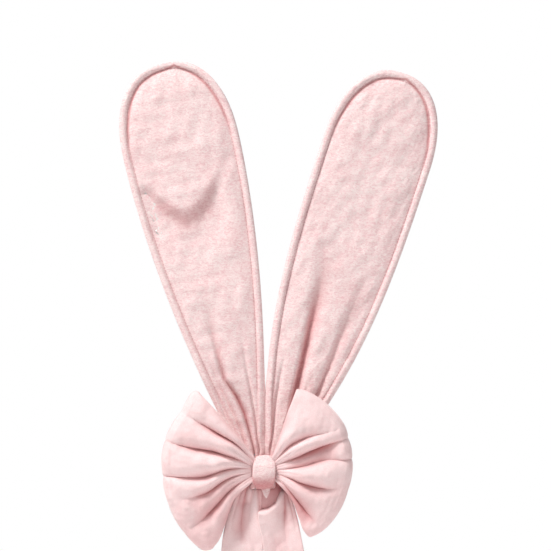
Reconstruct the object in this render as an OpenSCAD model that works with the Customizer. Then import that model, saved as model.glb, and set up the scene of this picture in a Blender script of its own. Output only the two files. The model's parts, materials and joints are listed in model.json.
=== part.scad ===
// Animal ears headband: two long plush ears on bendable wire, a pleated bow with a knot and two
// tails, and a soft elastic band that goes round the head.
// Origin: centre of the head opening, half way up the band. The front is -Y, up is +Z, and left
// and right are as seen from the front. Every length is in millimetres.

/* [Ears] */
// Length of an ear, from the knot to its tip
ear_length = 337; // [280:1:405]
// Width of the left ear at its widest
left_ear_width = 95; // [70:1:105]
// Width of the right ear at its widest
right_ear_width = 90; // [70:1:105]
// How fast the left ear opens from its gathered foot
left_ear_taper = 1.8; // [1.4:0.1:2.4]
// How fast the right ear opens from its gathered foot
right_ear_taper = 2.9; // [1.4:0.1:3]
// Distance from an ear's tip back to its widest place
ear_tip_length = 70; // [50:1:90]
// Thickness of a finished ear, pile included
ear_thickness = 9; // [7:0.5:12]
// Tilt of the left ear from upright, in degrees
left_ear_tilt = 13; // [12:0.5:22]
// Tilt of the right ear from upright, in degrees
right_ear_tilt = 18.2; // [16:0.2:24]
// Distance from the knot to the line where an ear's wire is folded over
ear_fold_at = 200; // [150:1:230]
// Diameter of the wire in the ear's edge
ear_wire_d = 2.2; // [1.6:0.1:2.8]
// Distance from an ear's edge to the centre of its wire
ear_wire_inset = 4.6; // [4.2:0.1:6]
// Thickness of the wadding between an ear's two panels
wadding_thickness = 3.2; // [3:0.1:4]

/* [Bow] */
// Reach of the left loop from the middle of the knot
left_loop_reach = 82; // [65:1:95]
// Reach of the right loop from the middle of the knot
right_loop_reach = 74; // [65:1:95]
// Depth of a loop from front to back, at its fullest
loop_depth = 23; // [16:1:23]
// Height of the bow where it is gathered under the knot
waist_height = 20.4; // [16:0.2:24]
// Depth of the bow where it is gathered under the knot
waist_depth = 10; // [8:0.5:13]
// Width of the knot across the bow
knot_width = 19; // [15:0.5:24]
// Thickness of the plush that the knot is folded from
knot_wall = 2; // [1.2:0.1:3]
// Thickness of the thread that the bow and the ears are bound with
thread_d = 0.8; // [0.5:0.1:1.2]

/* [Tails] */
// Length of a tail below the knot, on its long side
tail_length = 158; // [90:1:220]
// Width that a tail opens to
tail_width = 37; // [28:1:44]
// Thickness of a tail, folds included
tail_thickness = 6; // [4:0.5:8]
// How much higher a tail's slanted end is on its outer side
tail_slant = 18; // [0:1:30]

/* [Band] */
// Width of the head opening from side to side, with the elastic relaxed
opening_width = 125; // [115:1:150]
// Length of the band's two straight sides, between its round ends
side_length = 35; // [32:1:60]
// Height of the padded front sleeve
band_height = 20; // [18:0.5:26]
// Thickness of the padded front sleeve
band_thickness = 7; // [6:0.5:9]
// Thickness of the sleeve's plush
sleeve_wall = 1.5; // [1:0.1:1.8]
// Height of the elastic strap
elastic_height = 14; // [10:0.5:14]
// Thickness of the elastic strap
elastic_thickness = 1.6; // [1:0.1:2]
// How far the elastic stretches towards the back
elastic_travel = 25; // [10:1:28]
// How far the middle of the knot is above the middle of the band
knot_lift = 5; // [3:0.5:6]

/* [Hidden] */
$fn = 48;

plush = "#f0cfcf";
velvet = "#f4d3d3";
wool = "#f7f3ee";
steel = "#b9bcc0";
thread = "#e8bcbc";
felt = "#f3dede";

LEFT = -1;
RIGHT = 1;

// Clearance between pieces of different bodies
gap = 0.4;

// Ear: it opens from its neck along a power curve and closes round the tip on a superellipse.
// In its own frame u runs across the ear and v up it, from the foot of its neck.
ear_base_v = 18;
ear_base_width = 20;
ear_widest_at = ear_length - ear_tip_length;
ear_tip_power = 2.3;
ear_rim = 2;
wadding_inset = 8.5;
wadding_base_v = 42;
fold_slope = 52;
base_slope = 34;
side_steps = 14;
tip_steps = 12;
wire_sides = 8;

// Ear neck: the gathered end that the ear turns on
neck_x = 6.5;
neck_width = 9;
neck_depth = 7;
neck_bottom_v = -3;
neck_groove = [3, 8];
shank_d = 2.6;

// Places from front to back, worked out from the head opening outwards
patch_thickness = 1.2;
sleeve_r = opening_width / 2;
arc_y = side_length / 2;
sleeve_front_y = -arc_y - sleeve_r - band_thickness;
ear_y = sleeve_front_y - patch_thickness - gap - ear_thickness / 2;
knot_back_y = ear_y - ear_thickness / 2 - gap;
bridge_thickness = 3;
knot_corner = 3;
knot_inner_depth = waist_depth + 2 * thread_d + bridge_thickness;
knot_inner_height = waist_height + 2 * thread_d;
knot_depth = knot_inner_depth + 2 * knot_wall;
knot_height = knot_inner_height + 2 * knot_wall;
knot_y = knot_back_y - knot_depth / 2;
bridge_y = knot_back_y - knot_wall - bridge_thickness / 2;
waist_y = bridge_y - bridge_thickness / 2 - thread_d - waist_depth / 2;
loop_y = min(waist_y, ear_y - ear_thickness / 2 - gap - loop_depth / 2);
tail_setback = 2;
tail_y = waist_y + tail_setback;

// Band
pocket_height = elastic_height + 1.6;
pocket_depth = band_thickness - 2 * sleeve_wall;
elastic_in_pocket = elastic_travel + 2;
join_y = elastic_in_pocket + 0.5 - arc_y;
casing_height = elastic_height + 4;
casing_thickness = band_thickness;
strap_r = sleeve_r + band_thickness / 2;

// ---------------------------------------------------------------- curves

function ear_width(side) = side == LEFT ? left_ear_width : right_ear_width;
function ear_taper(side) = side == LEFT ? left_ear_taper : right_ear_taper;

// Half the width that an ear may have at a distance v from the knot without touching the other
function ear_room(side, v) =
    let (tilt = side == LEFT ? left_ear_tilt : right_ear_tilt)
    (neck_x + v * sin(tilt) - gap / 2) / cos(tilt);

// Half the width of an ear at a distance v from the knot
function ear_half_width(side, v) =
    let (full = ear_width(side) / 2)
    v < ear_widest_at
    ? min(ear_room(side, v), full - (full - ear_base_width / 2)
        * pow(1 - (v - ear_base_v) / (ear_widest_at - ear_base_v), ear_taper(side)))
    : full * pow(1 - pow((v - ear_widest_at) / ear_tip_length, ear_tip_power), 1 / ear_tip_power);

// One edge of a whole ear, from its foot to its tip, as [u, v] points
function whole_edge(side) = concat(
    [for (i = [0 : side_steps - 1])
        let (v = ear_base_v + (ear_widest_at - ear_base_v) * i / side_steps) [ear_half_width(side, v), v]],
    [for (i = [0 : tip_steps])
        let (a = 90 * i / tip_steps)
        [ear_width(side) / 2 * pow(cos(a), 2 / ear_tip_power),
         ear_widest_at + ear_tip_length * pow(sin(a), 2 / ear_tip_power)]]
);

// The part of that edge above a distance v
function ear_edge(side, from_v) = concat(
    [[ear_half_width(side, from_v), from_v]],
    [for (p = whole_edge(side)) if (p.y > from_v + 1) p]
);

// The direction that points into the ear at one point of an edge
function inward(points, i) =
    let (a = points[max(i - 1, 0)], b = points[min(i + 1, len(points) - 1)], d = (b - a) / norm(b - a))
    i == len(points) - 1 ? [0, -1] : [-d.y, d.x];

// An edge moved into the ear by a distance
function inset_edge(side, from_v, distance) =
    let (edge = ear_edge(side, from_v)) [for (i = [0 : len(edge) - 1]) edge[i] + distance * inward(edge, i)];

// A whole outline from one edge: up the right side and down the left
function both_sides(edge) = concat(edge, [for (i = [len(edge) - 2 : -1 : 0]) [-edge[i].x, edge[i].y]]);

// A rectangle with round corners, centred
function rounded(width, height, radius, steps = 5) = [
    for (corner = [0 : 3], i = [0 : steps])
        let (a = 90 * (corner + i / steps),
             cx = (corner == 0 || corner == 3 ? 1 : -1) * (width / 2 - radius),
             cy = (corner < 2 ? 1 : -1) * (height / 2 - radius))
        [cx + radius * cos(a), cy + radius * sin(a)]
];

// Width of a tail at a distance below its top
tail_top_width = 9;
tail_flare = 32;
function tail_width_at(d) = tail_top_width + (tail_width - tail_top_width) * (1 - exp(-d / tail_flare));

// ---------------------------------------------------------------- helpers

// A round bar that follows a list of points, with flat ends
module bar_along(points, diameter) {
    count = len(points);
    function along(i) =
        let (a = points[max(i - 1, 0)], b = points[min(i + 1, count - 1)]) (b - a) / norm(b - a);
    ring_points = [for (i = [0 : count - 1])
        let (t = along(i), side = [t.z, 0, -t.x])
        for (k = [0 : wire_sides - 1])
            let (a = 360 * k / wire_sides)
            points[i] + diameter / 2 * (cos(a) * side + sin(a) * [0, 1, 0])];
    walls = [for (i = [0 : count - 2], k = [0 : wire_sides - 1])
        let (n = (k + 1) % wire_sides)
        [i * wire_sides + k, i * wire_sides + n, (i + 1) * wire_sides + n, (i + 1) * wire_sides + k]];
    caps = [[for (k = [wire_sides - 1 : -1 : 0]) k],
            [for (k = [0 : wire_sides - 1]) (count - 1) * wire_sides + k]];
    polyhedron(ring_points, concat(walls, caps), convexity = 6);
}

// A slab of an outline in the XZ plane, from y = 0 forwards
module forward_slab(outline, thickness) {
    rotate([90, 0, 0]) linear_extrude(thickness) polygon(outline);
}

// A section in the YZ plane, drawn out along X and centred
module along_x(outline, width) {
    rotate([90, 0, 90]) linear_extrude(width, center = true) polygon(outline);
}

// The room between two bevelled ends, in an ear's own frame. Each end is a ridge on the ear's
// middle plane that falls back by its slope.
module between_bevels(low_v, low_slope, high_v, high_slope) {
    t = ear_thickness;
    along_x([[0, low_v], [t, low_v + t * tan(low_slope)], [t, high_v - t * tan(high_slope)], [0, high_v],
             [-t, high_v - t * tan(high_slope)], [-t, low_v + t * tan(low_slope)]], ear_length);
}

module keep_lower() {
    intersection() {
        children();
        between_bevels(ear_base_v + gap / 2, base_slope, ear_fold_at - gap / 2, fold_slope);
    }
}

module keep_upper() {
    intersection() {
        children();
        between_bevels(ear_fold_at + gap / 2, fold_slope, ear_length * 1.2, 0);
    }
}

// Puts an ear's own frame in place: up the ear is +Z, and it turns about the foot of its neck
module on_ear(side) {
    tilt = side == LEFT ? left_ear_tilt : right_ear_tilt;
    translate([side * neck_x, ear_y, knot_lift]) rotate([0, side * tilt, 0]) children();
}

module at_knot(y) {
    translate([0, y, knot_lift]) children();
}

// ---------------------------------------------------------------- ears

// One plush panel, a shallow tray whose rim meets the other panel's
module ear_panel(side) {
    color(plush) difference() {
        forward_slab(both_sides(ear_edge(side, ear_base_v)), ear_thickness / 2);
        translate([0, 1, 0])
            forward_slab(both_sides(inset_edge(side, ear_base_v + 1, ear_rim)), wadding_thickness / 2 + 1);
    }
}

module ear_front(side) {
    ear_panel(side);
}

module ear_back(side) {
    mirror([0, 1, 0]) ear_panel(side);
}

module ear_wadding(side) {
    color(wool) translate([0, wadding_thickness / 2, 0])
        forward_slab(both_sides(inset_edge(side, wadding_base_v, wadding_inset)), wadding_thickness);
}

// The wire runs up one edge, round the tip and down the other. It is stored as two legs and a
// hoop, because the ear folds between them.
wire_end = ear_wire_d * 0.75;

module ear_wire_lower(side) {
    leg = [for (p = inset_edge(side, ear_base_v + wire_end, ear_wire_inset)) if (p.y < ear_fold_at - 8) p];
    last = leg[len(leg) - 1];
    end_v = ear_fold_at - wire_end;
    end_u = last.x + ear_half_width(side, end_v) - ear_half_width(side, last.y);
    color(steel) for (flip = [-1, 1])
        bar_along([for (p = concat(leg, [[end_u, end_v]])) [flip * p.x, 0, p.y]], ear_wire_d);
}

module ear_wire_upper(side) {
    hoop = both_sides(inset_edge(side, ear_fold_at + wire_end, ear_wire_inset));
    color(steel) bar_along([for (p = hoop) [p.x, 0, p.y]], ear_wire_d);
}

// The gathered foot of the ear, with a groove for its binding and a hole for the wire's shank
module ear_neck() {
    top_v = ear_base_v - gap / 2;
    color(plush) difference() {
        intersection() {
            translate([0, 0, neck_bottom_v]) linear_extrude(top_v - neck_bottom_v)
                polygon(rounded(neck_width, neck_depth, 2));
            along_x([[0, top_v], [-neck_depth, top_v - neck_depth * tan(base_slope)],
                     [-neck_depth, neck_bottom_v - 1], [neck_depth, neck_bottom_v - 1],
                     [neck_depth, top_v - neck_depth * tan(base_slope)]], 2 * neck_width);
        }
        translate([0, 0, neck_groove[0]]) linear_extrude(neck_groove[1] - neck_groove[0]) difference() {
            square([2 * neck_width, 2 * neck_depth], center = true);
            polygon(rounded(neck_width - 2 * thread_d, neck_depth - 2 * thread_d, 1.5));
        }
        translate([0, 0, neck_bottom_v - 1]) cylinder(d = shank_d, h = top_v - neck_bottom_v - 2);
    }
}

module ear_neck_thread() {
    turns = floor((neck_groove[1] - neck_groove[0]) / (1.5 * thread_d));
    pitch = (neck_groove[1] - neck_groove[0]) / turns;
    color(thread) for (i = [0 : turns - 1])
        translate([0, 0, neck_groove[0] + (i + 0.5) * pitch - thread_d / 2])
            linear_extrude(thread_d) difference() {
                polygon(rounded(neck_width, neck_depth, 2));
                polygon(rounded(neck_width - 2 * thread_d, neck_depth - 2 * thread_d, 1.5));
            }
}

module ear_wire_shank() {
    color(steel) translate([0, 0, neck_bottom_v])
        cylinder(d = shank_d, h = ear_base_v - gap / 2 - neck_bottom_v - 3);
}

// ---------------------------------------------------------------- bow

// A gathered loop: it fans out from the waist to a round outer fold. Angles are from level.
module bow_loop(side, reach, low_angle, high_angle, low_share, high_share) {
    fold_r = 6.5;
    steps = 5;
    belly = loop_depth / 2;
    color(velvet) at_knot(0) hull() {
        translate([side * (knot_width / 2 + 0.5), waist_y, 0])
            cube([1, waist_depth - 2, waist_height - 2], center = true);
        for (i = [0 : steps]) {
            t = i / steps;
            a = low_angle + (high_angle - low_angle) * t;
            share = t < 0.5 ? 1 - (1 - low_share) * (1 - 2 * t) : 1 - (1 - high_share) * (2 * t - 1);
            r = reach * share - fold_r;
            translate([side * r * cos(a), loop_y, r * sin(a)]) sphere(fold_r, $fn = 24);
        }
        for (t = [0.35, 0.65]) {
            a = low_angle + (high_angle - low_angle) * t;
            translate([side * reach * 0.55 * cos(a), loop_y, reach * 0.55 * sin(a)]) sphere(belly, $fn = 32);
        }
    }
}

module left_bow_loop() {
    bow_loop(LEFT, left_loop_reach, -50, 50, 0.98, 1.05);
}

module right_bow_loop() {
    bow_loop(RIGHT, right_loop_reach, -47, 66, 0.92, 1);
}

// The pinched middle of the bow, under the knot
module bow_waist() {
    color(velvet) at_knot(waist_y) along_x(rounded(waist_depth, waist_height, 3), knot_width);
}

module gather_thread() {
    outer = rounded(waist_depth + 2 * thread_d, waist_height + 2 * thread_d, 3 + thread_d);
    inner = rounded(waist_depth, waist_height, 3);
    color(thread) for (i = [-2 : 2])
        translate([i * 1.5 * thread_d, waist_y, knot_lift]) rotate([90, 0, 90])
            linear_extrude(thread_d, center = true) difference() {
                polygon(outer);
                polygon(inner);
            }
}

// A strip of plush folded round the bow's waist and the middle of the tails
module knot_wrap() {
    color(plush) at_knot(knot_y) rotate([90, 0, 90]) linear_extrude(knot_width, center = true) difference() {
        polygon(rounded(knot_depth, knot_height, 6));
        polygon(rounded(knot_inner_depth, knot_inner_height, knot_corner));
    }
}

// Overcast stitches that close the knot on its under side
module knot_seam() {
    stitches = 6;
    color(thread) for (i = [0 : stitches - 1])
        translate([(i - (stitches - 1) / 2) * knot_width / stitches, knot_y,
                   knot_lift - knot_height / 2 - thread_d / 2])
            cube([thread_d, 4, thread_d], center = true);
}

// The folded tab that the knot is sewn to the band by. It lies below the ears' necks, and its
// pointed end hangs under the knot.
tab_width = 13;
tab_leaf = 2.4;
tab_point = 7;
tab_point_x = 1.6;
tab_block = 5;

module bow_tab() {
    top = -norm([neck_width / 2, neck_bottom_v]) - gap;
    bottom = -knot_height / 2;
    patch_y = sleeve_front_y - patch_thickness;
    color(plush) union() {
        at_knot(knot_back_y + tab_leaf) forward_slab([
            [-tab_width / 2, top], [-tab_width / 2, bottom], [tab_point_x, bottom - tab_point],
            [tab_width / 2, bottom], [tab_width / 2, top]], tab_leaf);
        at_knot(patch_y) forward_slab([
            [-tab_width / 2, top], [-tab_width / 2, top - tab_block], [tab_width / 2, top - tab_block],
            [tab_width / 2, top]], patch_y - knot_back_y);
    }
}

// ---------------------------------------------------------------- tails

// The middle of the tail strip, which passes through the knot behind the bow
module tail_bridge() {
    color(velvet) at_knot(bridge_y)
        cube([knot_width, bridge_thickness, knot_inner_height - 2 * knot_corner], center = true);
}

tail_top_z = knot_lift - knot_height / 2 - 1.4;

module tail(side) {
    steps = 10;
    inner_x = 0.8;
    outer = [for (i = [0 : steps])
        let (d = (tail_length - tail_slant) * i / steps) [inner_x + tail_width_at(d), -d]];
    outline = [for (p = concat([[inner_x, 0]], outer, [[inner_x, -tail_length]])) [side * p.x, p.y]];
    half = tail_thickness / 2;
    color(velvet) intersection() {
        translate([0, tail_y + half, tail_top_z]) forward_slab(outline, tail_thickness);
        translate([0, tail_y, tail_top_z])
            along_x([[0, 0], [half, -half], [half, -2 * tail_length], [-half, -2 * tail_length],
                     [-half, -half]], 4 * tail_width);
    }
}

// ---------------------------------------------------------------- band

// A section of the band swept round one end of the oval opening. Front is -1, back is 1.
module round_end(end, outline) {
    translate([0, end * arc_y, 0]) rotate([0, 0, end == 1 ? 0 : 180])
        rotate_extrude(angle = 180) translate([strap_r, 0]) polygon(outline);
}

// The same section along the two straight sides
module straight_sides(from_y, to_y, outline) {
    for (side = [LEFT, RIGHT])
        translate([side * strap_r, to_y, 0])
            rotate([90, 0, 0]) linear_extrude(to_y - from_y) polygon(outline);
}

// The padded plush sleeve, from temple to temple round the front, open at both ends
module band_sleeve() {
    outer = rounded(band_thickness, band_height, 2.5);
    inner = rounded(pocket_depth, pocket_height, 1);
    color(plush) difference() {
        union() {
            round_end(-1, outer);
            straight_sides(-arc_y, join_y, outer);
        }
        round_end(-1, inner);
        straight_sides(-arc_y - 0.01, join_y + 1, inner);
    }
}

module band_padding() {
    color(wool) round_end(-1, rounded(pocket_depth, pocket_height, 1));
}

// The flat elastic, whose two ends run in the sleeve's open ends
module band_elastic() {
    section = rounded(elastic_thickness, elastic_height, 0.4);
    color("white") union() {
        round_end(1, section);
        straight_sides(join_y - elastic_in_pocket, arc_y, section);
    }
}

// The gathered velvet casing over the elastic, round the back of the head
module elastic_casing() {
    outer = rounded(casing_thickness, casing_height, 2.5);
    inner = rounded(elastic_thickness, elastic_height, 0.4);
    color(velvet) difference() {
        union() {
            round_end(1, outer);
            straight_sides(join_y + gap, arc_y, outer);
        }
        round_end(1, inner);
        straight_sides(join_y - 1, arc_y + 0.01, inner);
    }
}

// A curved felt patch on the face of the band's front, between two radii
module felt_arc(inner_r, outer_r, half_angle, height) {
    translate([0, -arc_y, -height / 2]) rotate([0, 0, -90 - half_angle])
        rotate_extrude(angle = 2 * half_angle) translate([inner_r, 0]) square([outer_r - inner_r, height]);
}

patch_height = band_height - 6;
pad_thickness = 1.4;

// The ears' necks and the knot are sewn to this patch
module front_patch() {
    r = sleeve_r + band_thickness;
    color(felt) felt_arc(r, r + patch_thickness, 13, patch_height);
}

// The comfort pad inside the band, over the sewing
module backing_pad() {
    color(felt) felt_arc(sleeve_r - pad_thickness, sleeve_r, 16, patch_height);
}

module pad_stitches() {
    r = sleeve_r - pad_thickness - thread_d / 2;
    color(thread) for (a = [-12 : 6 : 12])
        translate([0, -arc_y, 0]) rotate([0, 0, a]) translate([0, -r, 0])
            cube([thread_d, thread_d, 5], center = true);
}

// ---------------------------------------------------------------- the nodes

on_ear(LEFT) keep_lower() ear_front(LEFT);  // left_ear_front_lower
on_ear(LEFT) keep_upper() ear_front(LEFT);  // left_ear_front_upper
on_ear(LEFT) keep_lower() ear_back(LEFT);  // left_ear_back_lower
on_ear(LEFT) keep_upper() ear_back(LEFT);  // left_ear_back_upper
on_ear(LEFT) keep_lower() ear_wadding(LEFT);  // left_ear_wadding_lower
on_ear(LEFT) keep_upper() ear_wadding(LEFT);  // left_ear_wadding_upper
on_ear(LEFT) ear_wire_lower(LEFT);  // left_ear_wire_lower
on_ear(LEFT) ear_wire_upper(LEFT);  // left_ear_wire_upper
on_ear(LEFT) ear_neck();  // left_ear_neck
on_ear(LEFT) ear_neck_thread();  // left_ear_neck_thread
on_ear(LEFT) ear_wire_shank();  // left_ear_wire_shank
on_ear(RIGHT) keep_lower() ear_front(RIGHT);  // right_ear_front_lower
on_ear(RIGHT) keep_upper() ear_front(RIGHT);  // right_ear_front_upper
on_ear(RIGHT) keep_lower() ear_back(RIGHT);  // right_ear_back_lower
on_ear(RIGHT) keep_upper() ear_back(RIGHT);  // right_ear_back_upper
on_ear(RIGHT) keep_lower() ear_wadding(RIGHT);  // right_ear_wadding_lower
on_ear(RIGHT) keep_upper() ear_wadding(RIGHT);  // right_ear_wadding_upper
on_ear(RIGHT) ear_wire_lower(RIGHT);  // right_ear_wire_lower
on_ear(RIGHT) ear_wire_upper(RIGHT);  // right_ear_wire_upper
on_ear(RIGHT) ear_neck();  // right_ear_neck
on_ear(RIGHT) ear_neck_thread();  // right_ear_neck_thread
on_ear(RIGHT) ear_wire_shank();  // right_ear_wire_shank
left_bow_loop();
right_bow_loop();
bow_waist();
gather_thread();
knot_wrap();
knot_seam();
bow_tab();
tail_bridge();
tail(LEFT);  // left_tail
tail(RIGHT);  // right_tail
band_sleeve();
band_padding();
band_elastic();
elastic_casing();
front_patch();
backing_pad();
pad_stitches();
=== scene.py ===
import bmesh
import bpy
import json
import math
import numpy as np
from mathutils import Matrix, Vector


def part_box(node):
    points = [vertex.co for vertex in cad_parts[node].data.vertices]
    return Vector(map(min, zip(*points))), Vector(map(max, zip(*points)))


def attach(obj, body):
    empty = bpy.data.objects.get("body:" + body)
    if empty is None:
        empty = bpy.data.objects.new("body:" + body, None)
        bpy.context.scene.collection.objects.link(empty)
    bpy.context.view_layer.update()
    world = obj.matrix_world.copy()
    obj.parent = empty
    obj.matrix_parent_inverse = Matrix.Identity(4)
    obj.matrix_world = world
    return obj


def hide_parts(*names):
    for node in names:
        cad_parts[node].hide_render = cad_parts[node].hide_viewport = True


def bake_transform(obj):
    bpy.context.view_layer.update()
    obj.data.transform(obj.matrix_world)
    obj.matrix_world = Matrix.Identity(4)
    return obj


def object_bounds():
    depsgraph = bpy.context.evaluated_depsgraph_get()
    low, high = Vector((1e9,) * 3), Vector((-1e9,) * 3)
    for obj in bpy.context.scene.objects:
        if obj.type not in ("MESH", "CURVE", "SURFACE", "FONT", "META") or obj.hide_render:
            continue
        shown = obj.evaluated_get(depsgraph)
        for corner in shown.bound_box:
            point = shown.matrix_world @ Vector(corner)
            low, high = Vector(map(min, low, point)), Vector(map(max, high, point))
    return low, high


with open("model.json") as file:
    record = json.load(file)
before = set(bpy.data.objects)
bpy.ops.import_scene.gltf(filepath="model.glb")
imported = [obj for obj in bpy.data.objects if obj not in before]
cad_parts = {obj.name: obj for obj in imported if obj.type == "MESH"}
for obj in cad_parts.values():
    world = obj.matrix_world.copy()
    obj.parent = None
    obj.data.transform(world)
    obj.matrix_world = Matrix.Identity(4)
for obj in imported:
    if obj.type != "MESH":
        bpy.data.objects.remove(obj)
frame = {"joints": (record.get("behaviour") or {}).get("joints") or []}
cad_low, cad_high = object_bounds()

# ---------------------------------------------------------------- camera
# A long lens, level and straight in front. The picture takes in the ears' tips at the top and
# cuts the tails below the bow.
knot_low, knot_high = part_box("knot_wrap")
knot = (knot_low + knot_high) / 2
ear_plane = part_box("left_ear_wire_shank")
ear_y = (ear_plane[0].y + ear_plane[1].y) / 2
picture_width = 0.441
picture_centre = knot + Vector((0.0092, 0, 0.1572))
camera_distance = 2.3

camera = bpy.data.objects.new("camera", bpy.data.cameras.new("camera"))
camera.data.sensor_width = 36
camera.data.lens = camera.data.sensor_width * camera_distance / picture_width
camera.location = (picture_centre.x, ear_y - 0.010 - camera_distance, picture_centre.z)
camera.rotation_euler = (math.radians(90), 0, 0)
bpy.context.scene.collection.objects.link(camera)
bpy.context.scene.camera = camera


# ---------------------------------------------------------------- floor and light
# A pale floor under the tails and a soft white room. The main lamp stands above to the left, a
# weak one fills in from the right, and a third lights the back.
def plain_colour(red, green, blue):
    """A colour given as it looks on a screen, from 0 to 255, as Blender's linear red, green, blue."""
    return tuple(
        c / 12.92 if c <= 0.04045 else ((c + 0.055) / 1.055) ** 2.4
        for c in (red / 255, green / 255, blue / 255)
    )


def new_material(name):
    """An empty node material, its tree and its shader."""
    material = bpy.data.materials.new(name)
    material.use_nodes = True
    tree = material.node_tree
    return material, tree, tree.nodes["Principled BSDF"]


def soft_lamp(name, place, target, width, watts, tint=(1, 1, 1)):
    """A square lamp that faces a target."""
    lamp = bpy.data.objects.new(name, bpy.data.lights.new(name, "AREA"))
    lamp.data.size = width
    lamp.data.energy = watts
    lamp.data.color = tint
    lamp.location = place
    lamp.rotation_euler = (Vector(target) - Vector(place)).to_track_quat("-Z", "Y").to_euler()
    bpy.context.scene.collection.objects.link(lamp)


ears_foot = (0, -0.1, 0.1)
soft_lamp("key_lamp", (-0.80, -0.75, 1.70), ears_foot, 0.42, 36, (1, 0.99, 0.98))
soft_lamp("fill_lamp", (0.9, -1.7, 0.5), ears_foot, 1.0, 1.6)
soft_lamp("back_lamp", (0.6, 1.6, 1.2), (0, 0, 0.1), 1.2, 9)

room_light = 0.39
room = bpy.data.worlds.new("room")
bpy.context.scene.world = room
room.use_nodes = True
seen = room.node_tree.nodes.new("ShaderNodeLightPath")
white = room.node_tree.nodes["Background"]
white.inputs["Color"].default_value = (1, 1, 1, 1)
strength = room.node_tree.nodes.new("ShaderNodeMapRange")
strength.inputs["To Min"].default_value = room_light
strength.inputs["To Max"].default_value = 1.0
room.node_tree.links.new(seen.outputs["Is Camera Ray"], strength.inputs["Value"])
room.node_tree.links.new(strength.outputs["Result"], white.inputs["Strength"])
bpy.context.scene.view_settings.view_transform = "Standard"

floor_drop = 0.012
floor_radius = 1.0
floor_sides = 96
floor_turns = [2 * math.pi * i / floor_sides for i in range(floor_sides)]
floor_edge = [(floor_radius * math.cos(a), floor_radius * math.sin(a), 0) for a in floor_turns]
floor_mesh = bpy.data.meshes.new("floor")
floor_mesh.from_pydata(floor_edge, [], [range(floor_sides)])
floor = bpy.data.objects.new("floor", floor_mesh)
floor.location.z = cad_low.z - floor_drop
floor_material, _, floor_shader = new_material("floor_paint")
floor_shader.inputs["Base Color"].default_value = (0.82, 0.82, 0.82, 1)
floor_shader.inputs["Roughness"].default_value = 0.95
floor_shader.inputs["Specular IOR Level"].default_value = 0.1
floor_shader.inputs["Emission Color"].default_value = (1, 1, 1, 1)
floor_shader.inputs["Emission Strength"].default_value = 0.14
floor_mesh.materials.append(floor_material)
bpy.context.scene.collection.objects.link(floor)


# ---------------------------------------------------------------- ears
# Each ear is two panels of short-pile plush with thin wadding between them, turned out and
# topstitched round its edge into a channel for the wire. Its lower end is gathered into pleats
# and bound.
mm = 0.001
joints = {j["name"]: j for j in frame["joints"]}

EAR_BASE = 18.0
EAR_BASE_WIDTH = 21.0
EAR_LENGTH = 337.0
EAR_TIP = 70.0
EAR_WIDEST = EAR_LENGTH - EAR_TIP
EAR_TIP_POWER = 2.3
NECK_HALF = 4.3
NECK_FOOT = -2.5
CHANNEL = 6.0
GATHERED_TO = 58.0
TIP_POINT_WIDTH = 7.0
CHANNEL_HALF_THICK = 2.5
SEAM_HALF_THICK = 0.55
PANEL_HALF_THICK = 3.1
NECK_HALF_THICK = 3.3


def ease(x, low, high):
    """0 below low, 1 above high, and a smooth step between them."""
    t = np.clip((np.asarray(x, float) - low) / (high - low), 0, 1)
    return t * t * (3 - 2 * t)


def ripples(x, y, wavelength, seed, count=14):
    """A smooth uneven surface between about -1 and 1: waves of one length in many directions."""
    rng = np.random.default_rng(seed)
    total = 0
    for turn, phase, stretch in zip(
        rng.uniform(0, math.pi, count), rng.uniform(0, 2 * math.pi, count), rng.uniform(0.7, 1.4, count)
    ):
        along = x * math.cos(turn) + y * math.sin(turn)
        total = total + np.sin(2 * math.pi * along / (wavelength * stretch) + phase)
    return total / math.sqrt(count)


def skin(name, points, faces, material, fold=None):
    """A smooth closed piece from points in millimetres and the faces between them. fold gives each
    point's share of painted shade, from 0 to 1, which darkens its material."""
    mesh = bpy.data.meshes.new(name)
    mesh.from_pydata((points.reshape(-1, 3) * mm).tolist(), [], faces)
    if fold is not None:
        mesh.attributes.new("fold", "FLOAT", "POINT").data.foreach_set("value", np.clip(fold, 0, 1).ravel())
    tidy = bmesh.new()
    tidy.from_mesh(mesh)
    bmesh.ops.remove_doubles(tidy, verts=tidy.verts, dist=1e-6)
    bmesh.ops.recalc_face_normals(tidy, faces=tidy.faces)
    for face in tidy.faces:
        face.smooth = len(face.verts) <= 4
        if not face.smooth:
            for edge in face.edges:
                edge.smooth = False
    tidy.to_mesh(mesh)
    tidy.free()
    mesh.materials.append(material)
    piece = bpy.data.objects.new(name, mesh)
    bpy.context.scene.collection.objects.link(piece)
    return piece


def loft(name, rings, material, ends="flat", fold=None):
    """A skin over rings of points. With flat ends the first and last ring are faces, and with
    joined ends the last ring runs on into the first."""
    rings = np.asarray(rings, float)
    rows, around = rings.shape[:2]
    index = np.arange(rows * around).reshape(rows, around)
    if ends == "joined":
        index = np.concatenate([index, index[:1]])
    nxt = np.roll(index, -1, axis=1)
    faces = np.stack([index[:-1], nxt[:-1], nxt[1:], index[1:]], axis=-1).reshape(-1, 4).tolist()
    if ends == "flat":
        faces += [index[0].tolist()[::-1], index[-1].tolist()]
    return skin(name, rings, faces, material, fold)


def noise(tree, place, scale, detail=2.0, roughness=0.5, distortion=0.0):
    """An uneven grey over a place, from 0 to 1."""
    cloud = tree.nodes.new("ShaderNodeTexNoise")
    cloud.inputs["Scale"].default_value = scale
    cloud.inputs["Detail"].default_value = detail
    cloud.inputs["Roughness"].default_value = roughness
    cloud.inputs["Distortion"].default_value = distortion
    tree.links.new(place, cloud.inputs["Vector"])
    return cloud.outputs["Fac"]


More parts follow.
